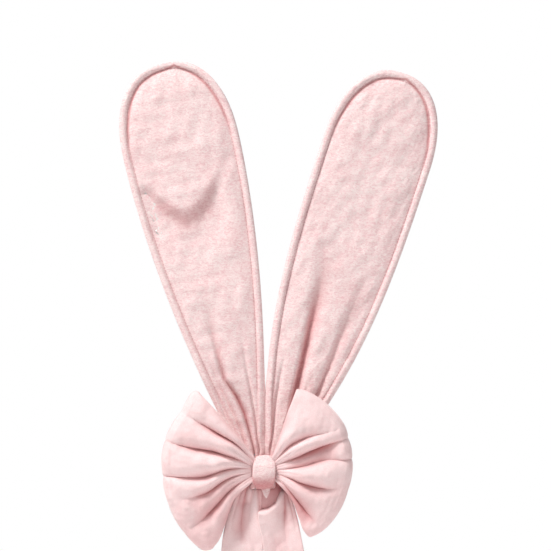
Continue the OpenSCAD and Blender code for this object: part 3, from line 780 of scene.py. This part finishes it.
def loop_surface(loop):
    """The middle surface of a loop's cloth: across the fan one way, and from the front of the
    waist round the outer fold to its back the other way."""
    lines = loop["lines"]
    spans = len(lines) - 1
    j = np.linspace(0, spans, spans * PLEAT_STEPS + 1)
    out = np.sin(np.linspace(0, 1, OUT_STEPS) ** 0.85 * math.pi / 2)
    over = np.linspace(RIM_START, math.pi, OVER_STEPS + 2)[1:-1]
    home = np.linspace(1, 0, HOME_STEPS)
    p = np.concatenate([out, np.ones(len(over)), home])[:, None] + 0 * j
    turn = np.concatenate([0 * out, over, 0 * home + math.pi])[:, None] + 0 * j
    j = j[None, :] + 0 * p

    rim = np.interp(j, range(spans + 1), [line[1] for line in lines])
    corner = np.where(j < spans / 2, 5.5, loop["top_corner"])
    rim = rim - corner * np.clip(1 - np.minimum(j, spans - j) / 0.22, 0, 1) ** 2
    rim_fold = loop["rim_fold"]
    reach = LOOP_ROOT + (rim - rim_fold - LOOP_ROOT) * p
    angles = np.stack([smooth_curve(reach, BOW_RADII, line[0]) for line in lines])
    whole = np.clip(np.floor(j).astype(int), 0, spans - 1)
    part = j - whole
    low = np.take_along_axis(angles, whole[None], 0)[0]
    high = np.take_along_axis(angles, whole[None] + 1, 0)[0]
    angle = np.radians(low + (high - low) * part)
    mm_per_line = np.maximum(reach, 5) * np.radians(high - low)

    front = turn < math.pi / 2
    belly = np.where(
        front, 4.3 + 8.6 * ease(p, 0, 0.45) - 4.6 * np.clip((p - 0.5) / 0.5, 0, 1) ** 2,
        4.3 + 4.4 * ease(p, 0, 0.4) - 2.2 * ease(p, 0.6, 1.0),
    )
    belly = belly - np.where(front, 6.0, 2.0) * np.clip((2.7 - j) / 2.7, 0, 1) ** 2 * ease(p, 0.1, 0.5)
    belly = belly - np.where(front, 2.5, 1.0) * np.clip((j - spans + 1) / 1, 0, 1) ** 2 * ease(p, 0.1, 0.5)
    shown = ease(p, 0.0, 0.28) * (1 - 0.86 * ease(p, 0.5, 0.98))
    puff = 5.6 * shown * np.abs(2 * part - 1) ** 1.7
    sag = np.array(loop["panels"])[whole] * np.sin(math.pi * part) ** 0.7
    crease = sag * ease(p, 0.12, 0.4) * (1 - ease(p, 0.78, 1.0))
    for k, line in enumerate(lines):
        depths, width = line[2:]
        away = (j - k) * mm_per_line
        wide = width * (0.22 + 0.78 * ease(p, 0.05, 0.7))
        depth = smooth_curve(p, [0, 0.22, 0.45, 0.75, 1.0], depths)
        crease = crease + depth * np.exp(-((np.abs(away) / wide) ** 1.2))
        lip = 0.42 * wide * np.exp(-((away / wide - 0.75) ** 2) / 0.22) * (away > 0)
        angle = angle - lip * np.minimum(depth / 6, 1) / reach
    fine = np.abs(part - 0.5) * mm_per_line
    tuck = 2.2 * np.exp(-((fine / (0.7 + 1.6 * p)) ** 1.2)) * ease(p, -0.05, 0.1) * (1 - ease(p, 0.18, 0.5))
    sunk = puff + crease + tuck
    sunk = np.where(front, sunk, 0.5 * sunk)
    height = np.maximum(belly - sunk, 0.9)
    at_rim = height[len(out) - 1]
    back_rim = height[len(out) + len(over)]

    radius = np.where(front, at_rim, back_rim)
    bulge = rim_fold * (0.55 + 0.45 * at_rim / at_rim.max())
    turning = (turn > 0) & (turn < math.pi)
    flat = reach + bulge * (np.sin(turn) - np.where(turning, RIM_START * (1 + np.cos(turn)) / 2, 0))
    depth = np.where(turning, -radius * np.cos(turn), np.where(front, -height, height))
    x = flat * np.cos(angle)
    z = flat * np.sin(angle)
    lively = 0.40 * ripples(x, z, 15, loop["seed"]) + 0.16 * ripples(x, z, 6, loop["seed"] + 1)
    middle = WAIST_Y + (LOOP_MIDDLE_Y - WAIST_Y) * ease(p, 0, 0.3)
    y = middle + depth + lively * ease(p, 0.1, 0.5) * np.where(front, -1, 0.6)
    # painted shade: the velvet is darkened in deep creases, close to the waist and over the lower panels
    fold = np.clip((sunk - 1.6) / 6.5, 0, 1) * (1 - 0.7 * ease(p, 0.9, 1.0)) + 0.25 * (1 - ease(p, 0.0, 0.2))
    fold = fold + 0.22 * np.clip((2.6 - j) / 2.6, 0, 1) * ease(p, 0.2, 0.8)
    return np.stack([knot.x / mm + loop["side"] * x, y, knot.z / mm + z], axis=-1), fold


for name, loop in BOW.items():
    surface, fold = loop_surface(loop)
    cloth = cloth_slab(name + "_bow_cloth", surface, VELVET_THICK, bow_velvet, fold=fold)
    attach(cloth, "band_and_bow")
    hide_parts(name + "_bow_loop", *(["bow_waist"] if name == "left" else []))


# ---------------------------------------------------------------- knot
# A strip of the ears' plush is wrapped round the bow's waist and the middle of the tails, and its
# ends are overcast together underneath. The bow's gathers and their thread show at its mouths.
KNOT_WALL = 2.0
KNOT_SQUARE = 2.1
KNOT_MIDDLE_Y = (knot_low.y + knot_high.y) / 2 / mm
KNOT_HALF_DEPTH = (knot_high.y - knot_low.y) / 2 / mm
KNOT_HALF_HEIGHT = (knot_high.z - knot_low.z) / 2 / mm
KNOT_HALF_WIDTH = (knot_high.x - knot_low.x) / 2 / mm


def knot_surface():
    """The knot's plush: a flattened tube round the waist, fullest in the middle of its width, with painted
    shade on its underside and at its two ends.
    """
    turn = np.linspace(0, 2 * math.pi, 120, endpoint=False)[:, None]
    round_wall = np.linspace(0, 2 * math.pi, 40, endpoint=False)[None, :]
    across = np.cos(round_wall)
    flat_across = np.sign(across) * np.abs(across) ** 0.5
    wall = KNOT_WALL / 2 * np.sin(round_wall)
    squarish = np.abs(np.cos(turn)) ** KNOT_SQUARE + np.abs(np.sin(turn)) ** KNOT_SQUARE
    squarish = squarish ** (-1 / KNOT_SQUARE)
    full = 1 + 0.10 * (1 - flat_across**2) - 0.03
    tucks = 0.5 * np.exp(-(((flat_across - 0.28 + 0.1 * np.sin(turn)) / 0.12) ** 2))
    tucks = tucks + 0.4 * np.exp(-(((flat_across + 0.42 + 0.1 * np.cos(turn)) / 0.1) ** 2))
    uneven = 0.22 * ripples(turn * 12, flat_across * 9.5, 7, 5)
    half_y = (KNOT_HALF_DEPTH - KNOT_WALL / 2) * squarish * full
    half_z = (KNOT_HALF_HEIGHT - KNOT_WALL / 2) * squarish * full
    outer = np.where(np.sin(round_wall) > 0, 1, 0)
    lift = wall + (uneven - tucks) * outer
    rising = np.sin(turn)
    narrow = 1 - 0.24 * np.clip(rising, 0, 1) ** 3 - 0.30 * np.clip(-rising, 0, 1) ** 3
    x = flat_across * (KNOT_HALF_WIDTH - 0.3) * narrow + 0.4 * rising
    y = KNOT_MIDDLE_Y - (half_y + lift) * np.cos(turn)
    z = knot.z / mm + (half_z + lift) * np.sin(turn)
    # painted shade: the knot's lower half and its two ends at the mouths are darkened
    shade = ease(-rising, -0.1, 0.75) + 0.5 * ease(np.abs(flat_across), 0.93, 1.0) + 0 * x
    return np.stack([knot.x / mm + x, y, z], axis=-1), shade


surface, fold = knot_surface()
knot_plush = loft("knot_plush", surface, ear_plush, "joined", fold=fold)
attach(knot_plush, "band_and_bow")
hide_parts("knot_wrap")

# Overcast stitches close the knot underneath, and the pointed end of its strip hangs there.
KNOT_FLOOR = 13.0
stitch_x = np.linspace(-7, 7, 9)
knot_stitches = stitch_row(
    "knot_stitches",
    [(knot.x / mm + x - 0.5, KNOT_MIDDLE_Y + 3.4, knot.z / mm - KNOT_FLOOR) for x in stitch_x],
    [(knot.x / mm + x + 0.5, KNOT_MIDDLE_Y + 7.0, knot.z / mm - KNOT_FLOOR + 0.5) for x in stitch_x],
    np.tile((0, 0, -1.0), (len(stitch_x), 1)), 0.35, 0.4, sewing_thread,
)
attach(knot_stitches, "band_and_bow")
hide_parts("knot_seam")

down = np.linspace(0, 1, 26)[:, None]
across = np.linspace(-1, 1, 15)[None, :]
end_half = 3.3 * (1 - down**1.7) + 0.25
knot_end_points = np.stack([
    knot.x / mm + 1.3 + end_half * across + 0.9 * down * (1 - 0.4 * down),
    KNOT_MIDDLE_Y - 1.0 + 1.4 * across**2 * (1 - down) - 1.2 * down + 0 * across,
    knot.z / mm - 11.6 - 9.0 * down + 0 * across,
], axis=-1)
knot_end = cloth_slab("knot_end", knot_end_points, 2.0, ear_plush)
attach(knot_end, "band_and_bow")

give_material("gather_thread", sewing_thread)
give_material("tail_bridge", bow_velvet)


# ---------------------------------------------------------------- tails
# The two tails are the ends of one lined velvet strip, gathered through the knot behind the bow.
# They hang in soft pleats, and each is cut on a slant and hemmed at its foot.
# Distances are in millimetres from the middle of the knot, across and down.
TAIL_Y = -106.8
TAIL_THICK = 2.1
TAIL_LEVELS = [7, 14, 25, 36, 50, 64, 100, 175]
TAIL_TOP = 14.4
TAIL_SLANT = 18
TAIL_LENGTH = 158
TAIL_WIDTH = 38
HEM_DEPTH = 7.0

# Each fold gives the levels it passes, its place across the tail at each, its depths and widths.
TAILS = {
    "left": {
        "side": -1, "seed": 51,
        "inner": [-2.0, -1.4, -2.0, -2.4, -1.2, -0.9, -0.9, -0.9],
        "outer": [-9.8, -18.8, -25.2, -29.4, -32.6, -34.3, -37.0, -38.2],
        "folds": [
            ([7, 18, 25, 42, 70], [0.80, 0.66, 0.62, 0.56, 0.50],
             [2.5, 4.0, 5.0, 3.6, 0.0], [1.0, 1.6, 2.4, 3.4, 6]),
            ([7, 20, 32, 60], [0.45, 0.38, 0.35, 0.32], [2.5, 2.6, 1.4, 0.0], [1.0, 1.3, 2.0, 5]),
            ([7, 20, 34, 60], [0.92, 0.86, 0.84, 0.84], [2.5, 3.0, 1.6, 0.0], [0.9, 1.4, 2.4, 5]),
            ([60, 90, 130, 176], [0.30, 0.32, 0.34, 0.36], [0.0, 2.4, 2.6, 2.2], [7, 7, 8, 9]),
            ([60, 90, 130, 176], [0.74, 0.74, 0.72, 0.70], [0.0, 2.0, 2.4, 2.0], [7, 6, 7, 8]),
        ],
    },
    "right": {
        "side": 1, "seed": 57,
        "inner": [0.6, -2.4, -4.0, -4.9, -2.4, -0.4, 0.9, 0.9],
        "outer": [9.8, 17.8, 23.0, 26.4, 29.4, 32.2, 36.6, 38.0],
        "folds": [
            ([7, 20, 32, 44, 66], [0.90, 0.80, 0.71, 0.63, 0.60],
             [2.5, 4.4, 4.6, 2.6, 0.0], [1.0, 1.6, 2.2, 3.2, 6]),
            ([7, 22, 36, 60], [0.96, 0.92, 0.90, 0.88], [2.0, 2.6, 1.6, 0.0], [0.8, 1.2, 2.0, 4]),
            ([40, 70, 110, 176], [0.30, 0.34, 0.33, 0.30], [0.0, 2.6, 2.6, 2.4], [6, 8, 8, 9]),
            ([60, 90, 130, 176], [0.72, 0.70, 0.70, 0.72], [0.0, 2.2, 2.6, 2.0], [7, 6, 7, 8]),
        ],
    },
}


def tail_points(tail, a, t):
    """A tail's middle surface: a runs from its inner edge to its outer edge and t runs down it."""
    side = tail["side"]
    inner = smooth_curve(t, TAIL_LEVELS, tail["inner"])
    outer = smooth_curve(t, TAIL_LEVELS, tail["outer"])
    x = inner + (outer - inner) * a
    back = 1.2 * ease(t, 20, 60) - 0.8
    for levels, places, depths, widths in tail["folds"]:
        away = (a - np.interp(t, levels, places)) * np.abs(outer - inner)
        back = back + 1.35 * np.interp(t, levels, depths) * np.exp(
            -np.abs(away / (1.7 * np.interp(t, levels, widths))) ** 1.25
        )
    if side < 0:
        turned = smooth_curve(t, [9, 25, 37, 54, 80], [-6.6, -5.6, -4.4, -1.0, 3.0])
        back = back + 4.2 * ease(x - turned, -0.9, 1.4) * (1 - ease(t, 46, 60))
    else:
        rim = np.interp(x, [-6, 3.7, 10.0, 12.2, 15.1, 16.5], [32.6, 30.6, 25.6, 20.7, 13, 2])
        below = t - rim
        lower = ease(below, -1.5, 1.3)
        back = back + 5.4 * (1 - lower)
        back = back - 2.6 * np.exp(-((np.clip(below, 0, None) / 9) ** 1.3)) * lower * (rim > 12)
    back = back + 1.6 * ease(a, 0.86, 1) * (1 - ease(t, 30, 60))
    back = back + 0.35 * ripples(x, t, 19, tail["seed"]) * ease(t, 14, 30)
    back = back + 0.12 * ripples(x, t, 7, tail["seed"] + 1)
    hanging = 0.8 * np.sin((t - 60) / 32) * ease(t, 60, 90)
    return np.stack([knot.x / mm + x, TAIL_Y + back + hanging, knot.z / mm - t], axis=-1), back


def tail_foot(a):
    """How far down a tail is cut off."""
    return TAIL_TOP + TAIL_LENGTH - TAIL_SLANT * a


for name, tail in TAILS.items():
    a = np.linspace(0, 1, 84)
    top = 13.6 - 6.4 * ease(a, 0.45, 0.95)
    foot = tail_foot(a)
    run = np.concatenate([np.linspace(0, 0.34, 70, endpoint=False), np.linspace(0.34, 1, 56)])
    t = top[None, :] + (foot - top)[None, :] * run[:, None]
    surface, back = tail_points(tail, a[None, :] + 0 * t, t)
    # painted shade: the velvet is darkened in the pleats' hollows, less further down, and just under the
    # knot
    fold = np.clip((back - 1.8) / 5.0, 0, 1) * (1 - 0.75 * ease(t, 60, 110)) + 0.3 * (1 - ease(t, 12, 24))
    cloth = cloth_slab(name + "_tail_cloth", surface, TAIL_THICK, bow_velvet, fold=fold)
    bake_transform(cloth)
    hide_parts(name + "_tail")

    hem = np.linspace(0.03, 0.97, 60)
    ends = stitches_along(np.stack([hem, tail_foot(hem) - HEM_DEPTH], axis=-1) * (TAIL_WIDTH, 1))
    for face, out_y in (("front", -1.0), ("back", 1.0)):
        off = np.array([0, out_y * TAIL_THICK / 2, 0])
        start, end = (tail_points(tail, x / TAIL_WIDTH, t)[0] + off for x, t in (e.T for e in ends))
        out = np.tile((0, out_y, 0), (len(start), 1))
        row = stitch_row(f"{name}_tail_{face}_hem", start, end, out, THREAD_RADIUS, 0.22, sewing_thread)
        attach(row, name + "_tail")


# ---------------------------------------------------------------- band
# Round the front of the head runs a flat tube of the ears' plush, padded, with a seam along its
# inner edge and a hem at each end. A gathered velvet casing with elastic in it closes the back.
STRAP_RADIUS = 66.0
ARC_Y = 17.5
JOIN_Y = 10.0
SLEEVE_HALF = (3.5, 10.0)
CASING_HALF = (3.5, 9.0)
HEM_HALF = (3.28, 9.86)
HEM_FROM_MOUTH = 3.5


def band_path(from_s, to_s, step, end):
    """Points and outward directions round one half of the band. s is the distance from its
    middle, and end is -1 for the front half and 1 for the back."""
    s = np.arange(from_s, to_s + step / 2, step)
    quarter = STRAP_RADIUS * math.pi / 2
    angle = np.clip(s, -quarter, quarter) / STRAP_RADIUS
    past = np.sign(s) * np.clip(np.abs(s) - quarter, 0, None)
    out = np.stack([np.sin(angle), end * np.cos(angle), 0 * s], axis=-1)
    point = STRAP_RADIUS * out + (0, end * ARC_Y, 0)
    point[:, 1] -= end * np.abs(past)
    return s, point, out


def squared_ring(turn, half_thick, half_high):
    """A rounded rectangle round the band: how far out and how far up it is at each turn."""
    square = 2 / 3.0
    cos, sin = np.cos(turn), np.sin(turn)
    n = half_thick * np.sign(cos) * np.abs(cos) ** square
    z = half_high * np.sign(sin) * np.abs(sin) ** square
    return n, z


def band_skin(name, point, out, half_thick, half_high, mouth, material):
    """A padded tube round a stretch of the band, whose two ends turn in to an open mouth.
    half_thick and half_high give its half sizes at each step along it and each way round it."""
    turn = np.linspace(0, 2 * math.pi, half_thick.shape[1], endpoint=False)[None, :]
    n, z = squared_ring(turn, half_thick, half_high)
    rings = point[:, None] + out[:, None] * n[..., None] + np.array([0, 0, 1.0]) * z[..., None]
    first, last = [], []
    for share, depth in ((0.9, 0.0), (0.62, 0.4), (0.55, 1.5), (0.55, mouth)):
        for ends, at, step in ((first, 0, 1), (last, -1, -1)):
            along = point[at + step] - point[at]
            along /= np.linalg.norm(along)
            ring = point[at] + along * depth + out[at] * n[at][:, None] * share
            high = 1 - (1 - share) * 0.45
            ends.append(ring + np.array([0, 0, 1.0]) * z[at][:, None] * high)
    return loft(name, np.concatenate([first[::-1], rings, last]), material)


half_run = STRAP_RADIUS * math.pi / 2 + ARC_Y + JOIN_Y
s, point, out = band_path(-half_run, half_run, 1.2, -1)
turn = np.linspace(0, 2 * math.pi, 56, endpoint=False)[None, :]
along = s[:, None]
seam = np.exp(-(((turn - 1.25 * math.pi) / 0.10) ** 2))
gathered_in = np.exp(-((half_run - np.abs(along) - 3.5) / 1.6) ** 2)
rumple = 0.22 * ripples(along, turn * 7, 16, 71) + 0.10 * ripples(along, turn * 7, 6, 72)
sleeve = band_skin(
    "sleeve_plush", point, out,
    SLEEVE_HALF[0] * (1 - 0.18 * seam - 0.10 * gathered_in) + rumple,
    SLEEVE_HALF[1] * (1 - 0.05 * seam - 0.02 * gathered_in) + 0.5 * rumple, 6.0, ear_plush,
)
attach(sleeve, "band_and_bow")
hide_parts("band_sleeve")

casing_run = STRAP_RADIUS * math.pi / 2 + ARC_Y - JOIN_Y - 0.4
s, point, out = band_path(-casing_run, casing_run, 0.6, 1)
along = s[:, None]
wander = 1.1 * np.sin(turn * 2 + 0.05 * along) + 0.8 * np.sin(turn * 3 - 0.031 * along)
pitch = 4.4 + 0.5 * np.sin(along / 17.0)
ruche = np.abs(np.sin(math.pi * (along + wander + 1.2 * ripples(along, turn * 6, 22, 74)) / pitch))
ruche = 1 - (1 - ruche) ** 1.6
settled = ease(casing_run - np.abs(along), 0.5, 6)
casing = band_skin(
    "casing_velvet", point, out,
    CASING_HALF[0] * (0.62 + 0.40 * ruche * settled + 0.12 * (1 - settled)),
    CASING_HALF[1] * (0.94 + 0.06 * ruche * settled), 5.0, bow_velvet,
)
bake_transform(casing)
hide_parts("elastic_casing")

# Hem stitches go round the sleeve's two ends.
hem_y = JOIN_Y - HEM_FROM_MOUTH
n, z = squared_ring(np.linspace(0, 2 * math.pi, 400), *HEM_HALF)
for name, side in (("left", -1), ("right", 1)):
    start, end = stitches_along(np.stack([side * (STRAP_RADIUS + n), hem_y + 0 * n, z], axis=-1))
    out = start - (side * STRAP_RADIUS, hem_y, 0)
    out /= np.linalg.norm(out, axis=1, keepdims=True)
    row = stitch_row(f"sleeve_{name}_hem", start, end, out, THREAD_RADIUS, 0.25, sewing_thread)
    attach(row, "band_and_bow")

# the first colour is painted shade in the weave's hollows, and the second is the elastic's own white
woven, woven_shader = ribbed_material(
    "woven_elastic", plain_colour(226, 222, 218), plain_colour(250, 248, 246),
    260, 0.6, "Z", 0.7, 0.0002,
)
woven_shader.inputs["Roughness"].default_value = 0.75
give_material("band_elastic", woven)
give_material("band_padding", white_wadding)


# ---------------------------------------------------------------- felt patches
# A patch of felt on the front of the band takes the stitches of the ears and the knot, and a
# pad of it lines the inside over them. The pad is oversewn along its two long edges.
pink_felt = pile_material(
    "pink_felt", plain_colour(246, 226, 226), plain_colour(236, 208, 208), 0.0006, 0.006, 0.0003, 0.25
)
FELT_HALF_HEIGHT = 7.0
# radii in millimetres and half angles in degrees round the band
PATCH_RADIUS, PATCH_HALF_ANGLE = 70.1, 13
PAD_RADIUS, PAD_HALF_ANGLE = 61.8, 16


def felt_points(radius, half_angle, across, up):
    """Points of a felt patch curved round the band, with rounded corners."""
    corner = np.sqrt(np.clip(1 - 0.30 * np.abs(across) ** 9, 0, 1))
    angle = math.radians(half_angle) * across * np.sqrt(np.clip(1 - 0.05 * np.abs(up) ** 9, 0, 1))
    return np.stack([
        radius * np.sin(angle), -ARC_Y - radius * np.cos(angle), FELT_HALF_HEIGHT * up * corner
    ], axis=-1)


across, up = np.meshgrid(np.linspace(-1, 1, 60), np.linspace(-1, 1, 30), indexing="ij")
for name, node, radius, half_angle, thick in (
    ("felt_patch", "front_patch", PATCH_RADIUS, PATCH_HALF_ANGLE, 1.2),
    ("felt_pad", "backing_pad", PAD_RADIUS, PAD_HALF_ANGLE, 1.4),
):
    felt = cloth_slab(name, felt_points(radius, half_angle, across, up), thick, pink_felt, edge=0.7)
    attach(felt, "band_and_bow")
    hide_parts(node)

starts, ends = [], []
edge_run = np.linspace(-0.9, 0.9, 15)
for up_side in (-1, 1):
    inner, outer = 0.80 * up_side + 0 * edge_run, 1.04 * up_side + 0 * edge_run
    starts += list(felt_points(PAD_RADIUS - 0.7, PAD_HALF_ANGLE, edge_run, inner))
    ends += list(felt_points(PAD_RADIUS - 0.3, PAD_HALF_ANGLE, edge_run + 0.02, outer))
inwards = -(np.array(starts) - (0, -ARC_Y, 0)) * (1, 1, 0)
inwards /= np.linalg.norm(inwards, axis=1, keepdims=True)
oversewing = stitch_row("felt_pad_stitches", starts, ends, inwards, 0.3, 0.35, sewing_thread)
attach(oversewing, "band_and_bow")
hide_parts("pad_stitches")


# ---------------------------------------------------------------- tab
# A folded leaf of plush sewn between the knot and the patch holds the bow on the band.
tab_low, tab_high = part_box("bow_tab")
TAB_MIDDLE_Y = tab_low.y / mm + 1.2
down = np.linspace(0, 1, 34)[:, None]
across = np.linspace(-1, 1, 21)[None, :]
tab_top, tab_foot = tab_high.z / mm - 0.6, tab_low.z / mm
tab_half = 6.3 * np.clip(1 - np.clip((down - 0.62) / 0.38, 0, 1) ** 1.3, 0.03, 1)
tab_points = np.stack([
    knot.x / mm + tab_half * across + 1.6 * ease(down, 0.6, 1),
    TAB_MIDDLE_Y + 0.4 * across**2 * (1 - down) + 0 * down,
    tab_top + (tab_foot - tab_top) * down + 0 * across,
], axis=-1)
tab = cloth_slab("tab_plush", tab_points, 2.2, ear_plush)
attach(tab, "band_and_bow")
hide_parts("bow_tab")
